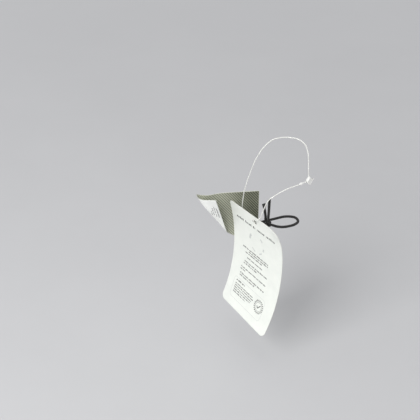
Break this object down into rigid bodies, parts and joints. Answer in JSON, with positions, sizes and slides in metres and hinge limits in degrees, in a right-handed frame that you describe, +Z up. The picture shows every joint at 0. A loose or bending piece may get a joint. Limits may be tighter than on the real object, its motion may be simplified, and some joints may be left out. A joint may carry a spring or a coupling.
{
  "type": "luggage tag",
  "caption": "Luggage tag set: a bowed printed card on a clear plastic loop fastener, with a curled leaflet on a black elastic tie.",
  "frame": {"origin": "on the axis of the carry handle that the set hangs on, level with the elastic tie", "axes": "+Z up along the carry handle, +X to the right of the handle, +Y away from the viewer into the suitcase"},
  "size_m": [0.1018, 0.0867, 0.1722],
  "materials": {
    "clear_nylon": "translucent, moulded, slightly milky",
    "black_elastic": "matt braided elastic",
    "white_card": "smooth coated card with grey print",
    "olive_paper": "matt, printed and embossed with a diagonal weave",
    "white_paper": "matt uncoated paper with small grey print"
  },
  "bodies": {
    "hangers": {"loop_filament": "clear_nylon", "lock_housing": "clear_nylon", "lock_plug": "clear_nylon", "tie_cord": "black_elastic", "tie_knot": "black_elastic", "tie_tail_long": "black_elastic", "tie_tail_short": "black_elastic", "tie_end_bead": "black_elastic"},
    "card": {"tag_card": "white_card"},
    "leaflet": {"leaflet_cover": "olive_paper", "leaflet_backing": "white_paper"}
  },
  "joints": [
    {"name": "card_lift", "type": "hinge", "parent": "hangers", "child": "card", "pos_m": [-0.021, -0.0053, 0.0032], "axis": [-0.6209, 0.7839, 0], "range_deg": [0, 42]},
    {"name": "leaflet_swing", "type": "hinge", "parent": "hangers", "child": "leaflet", "pos_m": [-0.0225, 0.03044, -0.0226], "axis": [0.1045, -0.9945, 0], "range_deg": [-10, 45]}
  ]
}
